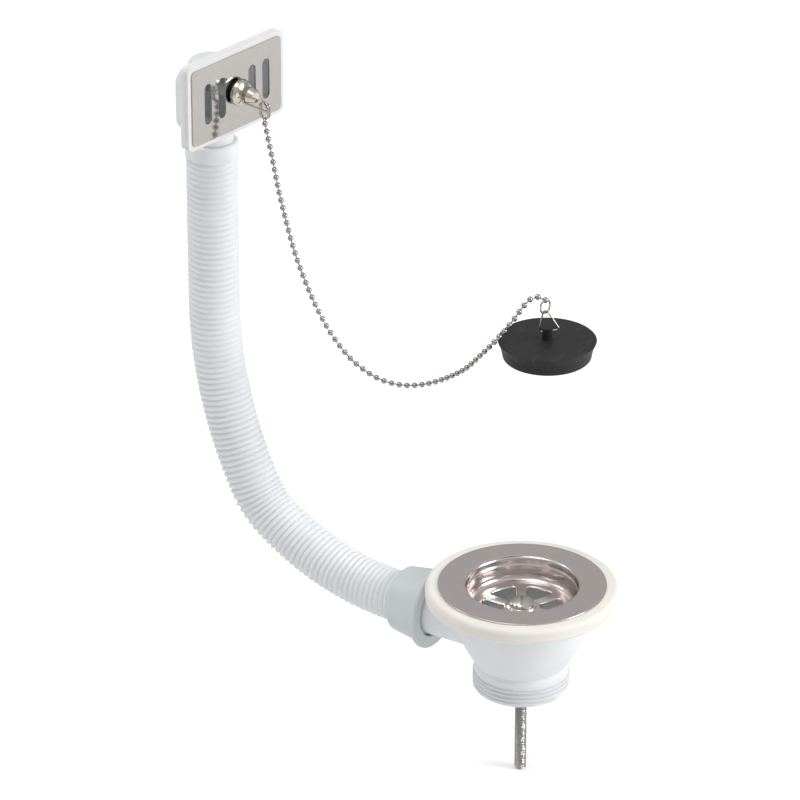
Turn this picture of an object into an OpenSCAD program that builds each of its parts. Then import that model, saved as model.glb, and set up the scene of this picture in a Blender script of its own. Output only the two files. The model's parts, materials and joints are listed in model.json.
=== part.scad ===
// Sink waste with overflow: a steel strainer on a plastic body, a flexible hose up to an overflow
// housing with its slotted plate, and a rubber plug on a ball chain. Millimetres, +Z up. The waste's
// axis is the Z axis and the sink's face, under the steel flange, is at z = 0.

/* [Strainer] */
// Outer diameter of the steel flange
flange_d = 85; // [80:0.5:90]
// Thickness of the pressed steel sheet
sheet_t = 0.8; // [0.6:0.1:1]
// Diameter of the cup's mouth
mouth_d = 56; // [52:0.5:57]
// Radius of the bend from the flange into the cup
mouth_round = 2; // [1.4:0.1:2.4]
// Depth of the cup's floor under the flange's face
cup_depth = 12.7; // [11:0.1:15]
// Depth of the ledge in the cup's wall under the flange's face
ledge_depth = 4; // [3:0.1:6]
// Width of that ledge
ledge_w = 0.7; // [0.4:0.1:1.2]
// Radius between the cup's wall and floor
floor_round = 3.4; // [2:0.1:4.5]
// Number of water holes in the floor
hole_count = 6; // [5:1:7]
// Radius where the water holes start
hole_r1 = 9.2; // [8.8:0.1:11]
// Radius where the water holes end
hole_r2 = 20.4; // [18:0.1:21]
// Width of the spokes between the water holes
spoke_w = 5.6; // [4:0.1:7]
// Radius of the corners of the water holes
hole_corner = 1.5; // [1:0.1:2]
// Direction of one spoke, in degrees from +X
spoke_turn = 41; // [0:1:60]
// Radius of the raised hub
hub_r = 7; // [6.2:0.1:7.6]
// Rise of the hub over the floor
hub_rise = 1; // [0.6:0.1:1.6]

/* [Centre bolt] */
// Outer diameter of the bolt's thread
bolt_d = 6; // [5:0.5:6]
// Length of the bolt under its head
bolt_len = 95; // [80:1:120]
// Diameter of the bolt's head
bolt_head_d = 12; // [10:0.5:12]
// Height of the bolt's domed head
bolt_head_h = 3.4; // [2.6:0.1:4]
// Width of the screwdriver slot
slot_w = 1.5; // [1:0.1:2]
// Depth of the screwdriver slot
slot_depth = 1.6; // [1:0.1:2]

/* [Sink seal] */
// Width of the thick seal ring outside the body's rim
seal_edge = 3.75; // [2.5:0.25:6]
// Thickness of the seal ring
seal_t = 8; // [7:0.1:10]
// Distance from the cup's mouth to the seal ring's upper lip
seal_gap = 3; // [1.5:0.5:4]
// Thickness of the upper lip, over the body's rim
seal_lip = 3.2; // [2.4:0.1:3.8]
// Radius of the seal's outer edges
seal_round = 2.4; // [1.5:0.1:3]

/* [Waste body] */
// Diameter of the body's rim inside the seal
rim_d = 90; // [86:0.5:91]
// Thickness of that rim
rim_t = 2.8; // [2:0.1:3.4]
// Outer diameter of the bowl at its top
bowl_d = 71; // [69:0.5:74]
// Outer diameter of the neck under the bowl
neck_d = 46.8; // [45:0.1:47.4]
// Depth of the neck under the sink's face
neck_depth = 42.4; // [41:0.1:48]
// Wall thickness of the body
body_wall = 2.5; // [2:0.1:3]
// Outer diameter of the outlet, its thread's crest
outlet_d = 47.8; // [47.4:0.1:49]
// Depth of the outlet's end under the sink's face
outlet_depth = 57.5; // [54:0.5:66]
// Diameter of the bridge's boss for the bolt
boss_d = 14; // [12.5:0.5:16]
// Height of the bridge and its boss
bridge_h = 12; // [10:0.5:13]
// Thickness of the bridge's arms
arm_t = 2.4; // [2:0.1:4]
// Number of the bridge's arms
arm_count = 3; // [3:1:4]

/* [Side inlet] */
// Direction of the inlet and the hose, in degrees from +Y towards -X
hose_turn = 8; // [0:1:20]
// Depth of the inlet's axis under the sink's face
inlet_depth = 28.4; // [28:0.1:29]
// Outer diameter of the inlet's stub
stub_d = 27.4; // [26:0.2:27.6]
// Distance of the stub's end from the waste's axis
stub_reach = 62; // [60:0.5:68]
// Bore of the stub
stub_bore = 21.6; // [19:0.2:22]
// Outer diameter of the stub's threaded end
stub_thread_d = 30; // [29:0.2:31]
// Length of the stub's threaded end
stub_thread_len = 9; // [7:0.5:9]
// Thickness of the inlet's seal
washer_t = 2; // [1.5:0.1:3]
// Outer diameter of the nut's front ring
nut_ring_d = 43; // [40:0.5:43]
// Length of the nut's front ring
nut_ring_len = 3; // [2:0.5:4]
// Outer diameter of the nut's body next to its ring
nut_d = 38.6; // [37:0.2:39.5]
// Outer diameter of the nut's tail
nut_tail_d = 34; // [33:0.2:36]
// Length of the nut
nut_len = 20; // [19:0.5:24]

/* [Overflow hose] */
// Outer diameter of the hose over its ridges
hose_d = 26.4; // [26:0.2:27]
// Bore of the hose, which the spigot fills
hose_bore = 22.8; // [22:0.2:23.2]
// Height of the hose's ridges
ridge_h = 0.8; // [0.5:0.1:0.9]
// Distance from ridge to ridge
ridge_pitch = 3.05; // [2.8:0.05:3.6]
// Thickness of the collar at the hose's lower end
collar_t = 2.4; // [2:0.1:3]
// Length of the smooth hose from the stub to the first bend
hose_start = 8.6; // [8:0.1:14]
// Radius of the lower bend
bend1_r = 130; // [110:1:150]
// Angle of the lower bend
bend1_angle = 36; // [32:1:40]
// Radius of the tight middle bend
bend2_r = 40; // [36:1:60]
// Angle of the tight middle bend
bend2_angle = 27; // [22:1:32]
// Radius of the long upper bend
bend3_r = 220; // [180:1:240]
// Length of the straight hose above the bends, with its cuff
hose_rise = 89; // [70:1:110]
// Outer diameter of the smooth cuff at the hose's top
cuff_d = 27.2; // [26.6:0.2:28]
// Length of that cuff
cuff_len = 9; // [7:0.5:14]

/* [Overflow housing] */
// Height of the housing's centre over the hose's top end
housing_rise = 31; // [30:0.5:36]
// Width of the housing's flange and its gasket
housing_w = 70; // [68:0.5:74]
// Height of the housing's flange and its gasket
housing_h = 44.6; // [42:0.2:47]
// Thickness of the housing's flange
housing_t = 3.2; // [2.5:0.1:4]
// Thickness of the gasket
gasket_t = 2; // [1:0.1:3]
// Width of the window behind the plate
window_w = 54; // [51:0.5:58]
// Height of the window behind the plate
window_h = 30; // [26:0.5:32]
// Depth of the chamber behind the flange
chamber_depth = 9; // [7:0.2:10]
// Wall thickness of the housing
housing_wall = 1.8; // [1.4:0.1:2]
// Distance from the back of the flange to the outlet tube's axis
tube_back = 12; // [11.6:0.1:12.4]
// Height of the outlet tube's closed top over the centre
tube_top = 13; // [11:0.5:16]
// Length of the spigot inside the hose
spigot_in = 12; // [8:0.5:16]

/* [Overflow plate] */
// Width of the steel plate
plate_w = 65; // [62:0.5:68]
// Height of the steel plate
plate_h = 40; // [38:0.5:42]
// Radius of the plate's corners
plate_corner = 2.5; // [1:0.1:4]
// Width of the plate's slots
grille_w = 5.3; // [4.8:0.1:5.8]
// Height of the plate's slots
grille_h = 21.5; // [18:0.5:24]
// Distance from the centre to the inner slots
grille_x1 = 11; // [10.6:0.1:12]
// Distance from the centre to the outer slots
grille_x2 = 21.2; // [20:0.1:22]

/* [Chain stay] */
// Diameter of the stay's domed cap
cap_d = 14; // [12:0.5:16]
// Height of the domed cap
cap_h = 3.6; // [3:0.1:4]
// Diameter of the neck washer
neck_washer_d = 9; // [8:0.5:11]
// Thickness of the neck washer
neck_washer_t = 1.5; // [1:0.1:2]
// Diameter of the stay's turned head
stay_d = 8.5; // [7.6:0.1:8.8]
// Distance from the plate to the stay's end
stay_len = 12.4; // [11.6:0.1:14]
// Distance from the plate to the stay's cross bore
stay_bore_at = 7.6; // [7.4:0.1:8]
// Diameter of the stay's thread
stay_thread_d = 5; // [4:0.5:5]
// Length of the stay's thread behind the plate's face
stay_thread_len = 13; // [10:0.5:16]

/* [Chain and plug] */
// Diameter of the wire of the clip, the ring and the links
wire_d = 0.9; // [0.8:0.05:1]
// Width of the stay's wire clip
clip_w = 11; // [10.4:0.1:12]
// Reach of the stay's wire clip
clip_reach = 12.4; // [11.8:0.1:14]
// Width of the ring between clip and chain
ring_w = 6.4; // [6:0.1:7]
// Height of the ring between clip and chain
ring_h = 9.6; // [9:0.1:11]
// Diameter of the chain's balls
ball_d = 3; // [2.6:0.1:3.2]
// Distance from ball to ball
ball_pitch = 4.1; // [3.9:0.05:4.5]
// Diameter of the wire between the balls
link_d = 0.7; // [0.5:0.05:0.8]
// Diameter of the plug's top
plug_d = 49.4; // [47:0.2:52]
// Diameter of the plug's foot
plug_foot_d = 44.6; // [43:0.2:46]
// Height of the plug without its lug
plug_h = 10.3; // [9:0.1:12]
// Height of the plug's lug
lug_h = 6; // [5.4:0.1:7]
// Diameter of the plug's lug
lug_d = 5; // [4.6:0.1:6]
// Width of the plug's wire triangle
tri_w = 10.5; // [10:0.1:12]
// Height of the plug's wire triangle
tri_h = 10.9; // [10.4:0.1:13]
// Width of the oval link between triangle and chain
link_w = 7; // [6:0.1:8]
// Height of that oval link
link_h = 7.9; // [7:0.1:9]

/* [Hidden] */
$fn = 64;
thread_gap = 0.05; // clearance of a screw in its nut
slide_gap = 0.15; // clearance round a wire or in a nut's bore
bend_swell = 0.02; // a bent wire is this much thicker in its bends
wire_lap = 0.05; // its straights run this far into the bends

// Steel strainer, from its flange in to its hub
flange_r = flange_d / 2;
mouth_r = mouth_d / 2;
cup_r = mouth_r - ledge_w;
ledge_z = sheet_t - ledge_depth;
floor_z = sheet_t - cup_depth;
hub_z = floor_z + hub_rise;
edge_round = 0.5 * sheet_t;
bolt_r = bolt_d / 2;
bolt_head_r = bolt_head_d / 2;
head_rim = bolt_head_h / 3; // straight height under the dome
bolt_chamfer = 0.8;

// Sink seal
seal_r = rim_d / 2 + seal_edge;
seal_bore_r = mouth_r + seal_gap;

// Waste body
rim_z = -seal_lip;
rim_under_z = rim_z - rim_t;
bowl_r = bowl_d / 2;
neck_r = neck_d / 2;
bowl_drop = neck_depth + rim_under_z;
bowl_arc = (pow(bowl_r - neck_r, 2) + pow(bowl_drop, 2)) / (2 * (bowl_r - neck_r));
bowl_sweep = asin(bowl_drop / bowl_arc);
outlet_r = outlet_d / 2;
outlet_bore_r = neck_r - body_wall;
outlet_chamfer = 0.8;
neck_flare = 2.2; // height of the flare from the neck to the outlet
boss_r = boss_d / 2;
bridge_z = 1.5 - outlet_depth; // underside of the bridge
insert_d = 9.2;
insert_h = 8;

// Inlet, its nut and seal; x runs out along the inlet
inlet_z = -inlet_depth;
stub_r = stub_d / 2;
stub_thread_r = stub_thread_d / 2;
nut_start = stub_reach - stub_thread_len - 2;
nut_end = nut_start + nut_len;
nut_shoulder = stub_reach + washer_t + collar_t;
nut_edge = 1.4;
washer_r = stub_thread_r - 0.1;

// Hose route in its upright plane; x runs out from the waste's axis, y up
hose_r = hose_d / 2;
bore_r = hose_bore / 2;
valley_r = hose_r - ridge_h;
cuff_r_low = valley_r + 0.4; // smooth end inside the nut
bend3_angle = 90 - bend1_angle - bend2_angle;
bends = [[bend1_r, bend1_angle], [bend2_r, bend2_angle], [bend3_r, bend3_angle]];
heads = [0, bend1_angle, bend1_angle + bend2_angle, 90];
hose_in = stub_reach + washer_t;
bend_in = [hose_in + hose_start, inlet_z];
function bend_step(r, h0, h1) = r * [sin(h1) - sin(h0), cos(h0) - cos(h1)];
bend_at = [
    bend_in,
    bend_in + bend_step(bend1_r, heads[0], heads[1]),
    bend_in + bend_step(bend1_r, heads[0], heads[1]) + bend_step(bend2_r, heads[1], heads[2])
];
rise_at = bend_at[2] + bend_step(bend3_r, heads[2], heads[3]);
ridge_share = 0.56; // part of the pitch that a ridge takes
cuff_round = 1.2;
ridges_len = hose_rise - cuff_len;
ridge_count = floor(ridges_len / ridge_pitch - ridge_share);
joint_trim = 0.15; // the hose's stretches end this far from where they meet

// Overflow housing; its own frame has x across, -y out of the plate and z up
overflow_reach = rise_at[0];
overflow_z = rise_at[1] + hose_rise + housing_rise;
overflow_at = [-overflow_reach * sin(hose_turn), overflow_reach * cos(hose_turn), overflow_z];
back_y = -tube_back; // back of the flange
flange_y = back_y - housing_t; // front of the flange
gasket_y = flange_y - gasket_t;
face_y = gasket_y - sheet_t; // front of the plate
housing_corner = 3.5;
window_corner = 6;
spigot_r = bore_r - 0.05; // slides into the hose
tube_bore_r = bore_r - housing_wall;
tube_round = 4;
pillar_r = 5;
stay_insert_r = 3.4;
stay_insert_len = 9;

// Chain stay along -y, measured from the plate's face
stay_r = stay_d / 2;
stay_thread_r = stay_thread_d / 2;
stay_tip_r = 2.9;
stay_groove = 0.35;
wire_r = wire_d / 2;
clip_roll = 22; // turn of the clip's base about the stay
clip_tilt = 33; // droop of the clip
clip_bend = 1;
clip_tip = clip_reach * [0, -cos(clip_tilt), -sin(clip_tilt)];
clip_tip_at = overflow_at + [0, face_y - stay_bore_at, 0]
    + [-sin(clip_roll) * clip_tip[2], clip_tip[1], cos(clip_roll) * clip_tip[2]];
ring_in = 1.95; // how far the ring's middle sits inside the clip's tip
ring_splay = 16;
ring_at = clip_tip_at + [0, ring_in, -0.4];

// Chain route from the first ball: along an upright plane, out of that plane, and up
chain_turn = -69; // direction of the plane, in degrees from +X
eye_r = 1.1;
eye_wire_r = 0.3;
ball_r = ball_d / 2;
link_r = link_d / 2;
eye_drop = eye_r - eye_wire_r - wire_r - 0.05; // the eye hangs on the ring by this much
eye_up = eye_r + ball_r - 0.1; // height of the eye over the first ball
chain_at = ring_at - [0, 0, ring_h / 2 - wire_r + eye_drop + eye_up];
route = [
    [0, 0, 0], [3.6, 0, -18], [6.8, 0, -34.9], [10.7, 0, -51.6], [15.1, 0, -67.9],
    [20.6, 0, -83.1], [26.8, 0, -97.1], [34.2, 0, -110], [43.3, 0, -121.1], [51.6, 0, -127.4],
    [61.1, 0, -131.6], [71.9, 0, -132.7], [82.6, 0, -130.7], [94.1, -1.8, -125.1],
    [107.6, -7.1, -114.8], [117.6, -10.7, -103.4], [124.4, -11.9, -95.2], [130.3, -11.2, -87.5],
    [132.6, -9.9, -84.1], [134.8, -8.2, -80.8], [136.7, -6.6, -77.4], [138.9, -4.6, -74.2],
    [141.4, -2.6, -71.7], [144.3, -0.9, -71.5], [147.5, -0.1, -73]
];
spans = len(route) - 1;
steps = 8;
function mirror_end(a, b) = 2 * a - b;
function knot(i) = i < 0 ? mirror_end(route[0], route[1])
    : i > spans ? mirror_end(route[spans], route[spans - 1]) : route[i];
function spline(a, b, c, d, t) = 0.5 * (2 * b + (c - a) * t + (2 * a - 5 * b + 4 * c - d) * t * t
    + (3 * b - a - 3 * c + d) * t * t * t);
line = [for (i = [0:spans - 1]) for (k = [0:steps - 1])
    spline(knot(i - 1), knot(i), knot(i + 1), knot(i + 2), k / steps), route[spans]];
run = [for (i = 0, l = 0; i < len(line); i = i + 1,
    l = i < len(line) ? l + norm(line[i] - line[i - 1]) : l) l];
chain_len = run[len(run) - 1];
ball_gaps = round(chain_len / ball_pitch);
ball_step = chain_len / ball_gaps;
function on_chain(l) = [for (k = [0:2]) lookup(l, [for (i = [0:len(line) - 1]) [run[i], line[i][k]]])];
balls = [for (i = [0:ball_gaps]) on_chain(i * ball_step)];

// Plug, hung under the chain's last ball
link_turn = -9; // direction of the oval link's plane, from +X
tri_turn = -59; // direction of the triangle's plane, from +X
tri_lean = 12;
tri_bend = 1; // bends beside the lug
tri_tip_bend = 1.6; // bend round the oval link
tri_slide = 1.1; // how far the triangle has slid through the lug
lug_bore_up = 4.2;
last = route[spans];
chain_end = chain_at + [last[0] * cos(chain_turn) - last[1] * sin(chain_turn),
    last[0] * sin(chain_turn) + last[1] * cos(chain_turn), last[2]];
tip_rise = tri_slide * sin(tri_lean) + tri_h * cos(tri_lean);
tip_run = tri_slide * cos(tri_lean) - tri_h * sin(tri_lean);
tri_at = chain_end - [tip_run * cos(tri_turn), tip_run * sin(tri_turn),
    tip_rise + link_h - 2 * wire_d - 0.1];
plug_at = tri_at - [0, 0, lug_bore_up];
plug_r = plug_d / 2;
plug_foot_r = plug_foot_d / 2;
lip_drop = 4;
lip_in = 1.4;
foot_round = 1.8;

// Points of an arc round c, from angle a0 to a1
function arc(c, r, a0, a1, n = 6) =
    [for (i = [0:n]) c + r * [cos(a0 + (a1 - a0) * i / n), sin(a0 + (a1 - a0) * i / n)]];

function turn_to(a) = [cos(a), sin(a)];
function heading(v) = atan2(v[1], v[0]);
function wrap(a) = a < 0 ? a + 360 : a;

// Height of a triangle's sharp corner whose rounded corner reaches up to h
function sharp_height(h, w, bend) =
    let (k = pow(2 * bend / w, 2), c = h - bend)
    (c + sqrt(c * c - (1 - k) * (c * c - bend * bend))) / (1 - k);

// Closed wire along a counterclockwise outline in the XY plane, with a bend at each corner
module wire_loop(outline, bends, r) {
    n = len(outline);
    dirs = [for (i = [0:n - 1]) heading(outline[(i + 1) % n] - outline[i])];
    cuts = [for (i = [0:n - 1]) bends[i] * tan(wrap(dirs[i] - dirs[(i + n - 1) % n]) / 2)];
    for (i = [0:n - 1]) {
        before = dirs[(i + n - 1) % n];
        start = outline[i] - cuts[i] * turn_to(before);
        straight = norm(outline[(i + 1) % n] - outline[i]) - cuts[i] - cuts[(i + 1) % n];
        translate(start + bends[i] * turn_to(before + 90))
            rotate(before - 90)
                rotate_extrude(angle = wrap(dirs[i] - before))
                    translate([bends[i], 0]) circle(r + bend_swell);
        if (straight > 0.01)
            translate(outline[i] + (cuts[i] - wire_lap) * turn_to(dirs[i]))
                rotate([0, 90, dirs[i]]) cylinder(r = r, h = straight + 2 * wire_lap);
    }
}

// Oval wire ring of outer size w by h in the XZ plane
module wire_oval(w, h, r) {
    x = w / 2 - r;
    y = h / 2 - r;
    bends = [for (i = [0:3]) x - 0.02];
    rotate([90, 0, 0]) wire_loop([[-x, -y], [x, -y], [x, y], [-x, y]], bends, r);
}

module rounded_rect(w, h, corner) {
    x = w / 2 - corner;
    y = h / 2 - corner;
    polygon(concat(
        arc([x, y], corner, 0, 90), arc([-x, y], corner, 90, 180),
        arc([-x, -y], corner, 180, 270), arc([x, -y], corner, 270, 360)
    ));
}

// Slab standing in the housing's frame, from y0 to y1
module slab(w, h, corner, y0, y1) {
    translate([0, y1, 0]) rotate([90, 0, 0]) linear_extrude(y1 - y0) rounded_rect(w, h, corner);
}

module round_along_y(r, y0, y1) {
    translate([0, y1, 0]) rotate([90, 0, 0]) cylinder(r = r, h = y1 - y0);
}

// Frame of the inlet and hose: x runs out along the inlet, z up
module at_inlet() {
    rotate([0, 0, 90 + hose_turn]) children();
}

// Profile of radius over distance, turned round the inlet's axis
module turned_on_inlet(profile) {
    at_inlet() translate([0, 0, inlet_z]) rotate([0, 90, 0]) rotate_extrude() polygon(profile);
}

module at_overflow() {
    translate(overflow_at) children();
}

// Profile of radius over distance from the plate, turned round the stay's axis
module turned_on_stay(profile) {
    at_overflow() translate([0, face_y, 0]) rotate([90, 0, 0]) rotate_extrude() polygon(profile);
}

// One water hole between two spokes, with rounded corners
module water_hole() {
    sector = 360 / hole_count;
    off = spoke_w / 2 + hole_corner;
    in_r = hole_r1 + hole_corner;
    out_r = hole_r2 - hole_corner;
    in_a = asin(off / in_r);
    out_a = asin(off / out_r);
    polygon(concat(
        arc(in_r * turn_to(in_a), hole_corner, 180 + in_a, 270, 4),
        arc(out_r * turn_to(out_a), hole_corner, -90, out_a, 4),
        arc([0, 0], hole_r2, out_a, sector - out_a, 6),
        arc(out_r * turn_to(sector - out_a), hole_corner, sector - out_a, sector + 90, 4),
        arc(in_r * turn_to(sector - in_a), hole_corner, sector + 90, sector + 180 - in_a, 4),
        arc([0, 0], hole_r1, sector - in_a, in_a, 2)
    ));
}

module strainer_flange() {
    mouth_c = [mouth_r + mouth_round, sheet_t - mouth_round];
    floor_c = [cup_r - floor_round, floor_z + floor_round];
    hole_r = bolt_r + 2 * slide_gap;
    sheet = concat(
        [[flange_r, 0]],
        arc([flange_r - edge_round, sheet_t - edge_round], edge_round, 0, 90, 3),
        arc(mouth_c, mouth_round, 90, 180),
        [[mouth_r, ledge_z], [cup_r, ledge_z - ledge_w]],
        arc(floor_c, floor_round, 0, -90),
        [[hub_r + hub_rise, floor_z], [hub_r, hub_z], [hole_r, hub_z], [hole_r, hub_z - sheet_t],
            [hub_r, hub_z - sheet_t], [hub_r + hub_rise, floor_z - sheet_t]],
        arc(floor_c, floor_round + sheet_t, -90, 0),
        [[cup_r + sheet_t, ledge_z - ledge_w], [mouth_r + sheet_t, ledge_z]],
        arc(mouth_c, mouth_round - sheet_t, 180, 90)
    );
    color([0.66, 0.62, 0.6]) difference() {
        rotate_extrude() polygon(sheet);
        for (i = [0:hole_count - 1])
            rotate(spoke_turn + i * 360 / hole_count)
                translate([0, 0, floor_z - 2 * sheet_t]) linear_extrude(3 * sheet_t) water_hole();
    }
}

module centre_bolt() {
    dome_h = bolt_head_h - head_rim;
    dome_r = (bolt_head_r * bolt_head_r + dome_h * dome_h) / (2 * dome_h);
    dome_a = asin(bolt_head_r / dome_r);
    profile = concat(
        [[0, -bolt_len], [bolt_r - bolt_chamfer, -bolt_len], [bolt_r, bolt_chamfer - bolt_len],
            [bolt_r, 0], [bolt_head_r, 0]],
        arc([0, bolt_head_h - dome_r], dome_r, 90 - dome_a, 90, 5)
    );
    color([0.72, 0.7, 0.68]) translate([0, 0, hub_z]) difference() {
        rotate_extrude() polygon(profile);
        rotate(spoke_turn) translate([-bolt_head_r - 1, -slot_w / 2, bolt_head_h - slot_depth])
            cube([bolt_head_d + 2, slot_w, slot_depth + 1]);
    }
}

module sink_seal() {
    groove_r = rim_d / 2;
    profile = concat(
        [[seal_bore_r, 0]],
        arc([seal_r - seal_round, -seal_round], seal_round, 90, 0, 5),
        arc([seal_r - seal_round, seal_round - seal_t], seal_round, 0, -90, 5),
        [[bowl_r, -seal_t], [bowl_r, rim_under_z], [groove_r, rim_under_z], [groove_r, rim_z],
            [seal_bore_r, rim_z]]
    );
    color([0.93, 0.91, 0.87]) rotate_extrude() polygon(profile);
}

module bowl_outside() {
    rotate_extrude() polygon(concat(
        [[0, rim_z], [rim_d / 2, rim_z], [rim_d / 2, rim_under_z], [bowl_r, rim_under_z]],
        [[bowl_r, -seal_t]],
        [for (p = arc([bowl_r - bowl_arc, rim_under_z], bowl_arc, 0, -bowl_sweep, 14))
            if (p[1] < -seal_t - 0.5) p],
        [[outlet_r, -neck_depth - neck_flare], [outlet_r, outlet_chamfer - outlet_depth],
            [outlet_r - outlet_chamfer, -outlet_depth], [0, -outlet_depth]]
    ));
}

module bowl_inside() {
    rotate_extrude() polygon(concat(
        [[0, rim_z + 1], [bowl_r - body_wall, rim_z + 1]],
        arc([bowl_r - bowl_arc, rim_under_z], bowl_arc - body_wall, 0, -bowl_sweep, 14),
        [[outlet_bore_r, -outlet_depth - 1], [0, -outlet_depth - 1]]
    ));
}

module waste_body() {
    color([0.93, 0.94, 0.94]) {
        difference() {
            union() {
                bowl_outside();
                at_inlet() translate([outlet_bore_r, 0, inlet_z]) rotate([0, 90, 0])
                    cylinder(r = stub_r, h = stub_reach - outlet_bore_r);
                turned_on_inlet([[0, stub_reach - stub_thread_len], [stub_r, stub_reach - stub_thread_len],
                    [stub_thread_r, stub_reach - stub_thread_len + 1], [stub_thread_r, stub_reach],
                    [0, stub_reach]]);
            }
            bowl_inside();
            at_inlet() translate([0, 0, inlet_z]) rotate([0, 90, 0])
                cylinder(d = stub_bore, h = stub_reach + 1);
        }
        difference() {
            translate([0, 0, bridge_z]) {
                cylinder(r = boss_r, h = bridge_h);
                for (i = [0:arm_count - 1])
                    rotate(90 + i * 360 / arm_count) translate([0, -arm_t / 2, 1])
                        cube([outlet_bore_r + body_wall / 2, arm_t, bridge_h - 2]);
            }
            translate([0, 0, bridge_z - 1]) cylinder(d = insert_d, h = insert_h + 1);
            translate([0, 0, bridge_z]) cylinder(r = bolt_r + 2 * slide_gap, h = bridge_h + 1);
        }
    }
}

module bridge_insert() {
    color([0.78, 0.66, 0.38]) translate([0, 0, bridge_z]) difference() {
        cylinder(d = insert_d, h = insert_h);
        translate([0, 0, -1]) cylinder(r = bolt_r + thread_gap, h = insert_h + 2);
    }
}

module inlet_nut() {
    in_r = stub_thread_r + slide_gap;
    tail_r = nut_tail_d / 2;
    throat_r = cuff_r_low + slide_gap;
    color([0.9, 0.92, 0.92]) turned_on_inlet(concat(
        [[in_r, nut_start], [nut_ring_d / 2 - 0.8, nut_start], [nut_ring_d / 2, nut_start + 0.8],
            [nut_ring_d / 2, nut_start + nut_ring_len - 0.8],
            [nut_ring_d / 2 - 0.8, nut_start + nut_ring_len],
            [nut_d / 2, nut_start + nut_ring_len + 0.4]],
        arc([tail_r - nut_edge, nut_end - nut_edge], nut_edge, 0, 90, 4),
        [[throat_r, nut_end], [throat_r, nut_shoulder], [in_r, nut_shoulder]]
    ));
}

module inlet_washer() {
    color([0.25, 0.25, 0.26]) turned_on_inlet([
        [stub_bore / 2, stub_reach], [washer_r, stub_reach],
        [washer_r, stub_reach + washer_t], [stub_bore / 2, stub_reach + washer_t]
    ]);
}

// Outline of ridged hose, as distance and radius, over count ridges
function ridge_profile(count) = [for (i = [1:count]) each [
    [valley_r, (i - ridge_share / 2) * ridge_pitch],
    [hose_r - 0.15, (i - ridge_share / 3.4) * ridge_pitch],
    [hose_r, (i - ridge_share / 8) * ridge_pitch],
    [hose_r, (i + ridge_share / 8) * ridge_pitch],
    [hose_r - 0.15, (i + ridge_share / 3.4) * ridge_pitch],
    [valley_r, (i + ridge_share / 2) * ridge_pitch]
]];

// Stretch of a bend: a round section of radius r from angle a0 over angle a
module bend_part(k, r, a0, a) {
    centre = bend_at[k] + bends[k][0] * turn_to(heads[k] + 90);
    translate(centre) rotate(heads[k] - 90 + a0)
        rotate_extrude(angle = a) translate([bends[k][0], 0]) circle(r);
}

// Whole bend, but for a hair at each end that a joint disc covers
module bend_run(k, r) {
    trim = joint_trim / bends[k][0] * 180 / PI;
    bend_part(k, r, trim, bends[k][1] - 2 * trim);
}

// Discs that join the hose's stretches, of radius r and length w
module joint_discs(r, w) {
    for (k = [0:3])
        translate(k < 3 ? bend_at[k] : rise_at) rotate(heads[k])
            translate([-w / 2, 0]) rotate([0, 90, 0]) cylinder(r = r, h = w);
}

module hose_outside() {
    for (k = [0:2]) {
        n = round(bends[k][0] * bends[k][1] * PI / 180 / ridge_pitch);
        step = bends[k][1] / n;
        bend_run(k, valley_r);
        for (i = [1:n - 1])
            bend_part(k, hose_r, (i - ridge_share / 2) * step, ridge_share * step);
    }
    joint_discs(hose_r, ridge_share * ridge_pitch);
    translate([hose_in, inlet_z]) rotate([0, 90, 0]) {
        cylinder(r = washer_r, h = collar_t);
        cylinder(r = cuff_r_low, h = nut_end - hose_in);
        cylinder(r = valley_r, h = hose_start - joint_trim);
    }
    top = cuff_d / 2;
    translate(rise_at) rotate([-90, 0, 0]) rotate_extrude() polygon(concat(
        [[0, joint_trim], [valley_r, joint_trim]],
        ridge_profile(ridge_count),
        [[valley_r, ridges_len], [top - 0.4, ridges_len + 0.4], [top, ridges_len + 1]],
        arc([top - cuff_round, hose_rise - cuff_round], cuff_round, 0, 90, 4),
        [[0, hose_rise]]
    ));
}

module hose_bore_cut() {
    for (k = [0:2]) bend_run(k, bore_r);
    joint_discs(bore_r + bend_swell, 4 * joint_trim);
    translate([hose_in - 1, inlet_z]) rotate([0, 90, 0])
        cylinder(r = bore_r, h = hose_start + 1 - joint_trim);
    translate(rise_at + [0, joint_trim]) rotate([-90, 0, 0])
        cylinder(r = bore_r, h = hose_rise + 1);
}

module overflow_hose() {
    color([0.92, 0.93, 0.94]) at_inlet() rotate([90, 0, 0]) difference() {
        hose_outside();
        hose_bore_cut();
    }
}

module housing_outside() {
    slab(housing_w, housing_h, housing_corner, flange_y, back_y);
    slab(window_w + 2 * housing_wall, window_h + 2 * housing_wall, window_corner + housing_wall,
        back_y - 0.5, back_y + chamber_depth);
    spigot_end = -housing_rise - spigot_in;
    rotate_extrude() polygon(concat(
        [[0, spigot_end], [spigot_r, spigot_end]],
        arc([spigot_r - tube_round, tube_top - tube_round], tube_round, 0, 90),
        [[0, tube_top]]
    ));
}

module overflow_housing() {
    color([0.94, 0.95, 0.95]) at_overflow() {
        difference() {
            housing_outside();
            slab(window_w, window_h, window_corner, flange_y - 1,
                back_y + chamber_depth - housing_wall);
            translate([0, 0, -housing_rise - spigot_in - 1])
                cylinder(r = tube_bore_r, h = housing_rise + spigot_in + 1 + tube_top - housing_wall);
        }
        difference() {
            round_along_y(pillar_r, flange_y, tube_bore_r + housing_wall / 2);
            round_along_y(stay_insert_r, flange_y - 1, flange_y + stay_insert_len);
            round_along_y(stay_thread_r + slide_gap, flange_y, face_y + stay_thread_len + 1);
        }
    }
}

module stay_insert() {
    color([0.78, 0.66, 0.38]) at_overflow() difference() {
        round_along_y(stay_insert_r, flange_y, flange_y + stay_insert_len);
        round_along_y(stay_thread_r + thread_gap, flange_y - 1, flange_y + stay_insert_len + 1);
    }
}

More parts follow.
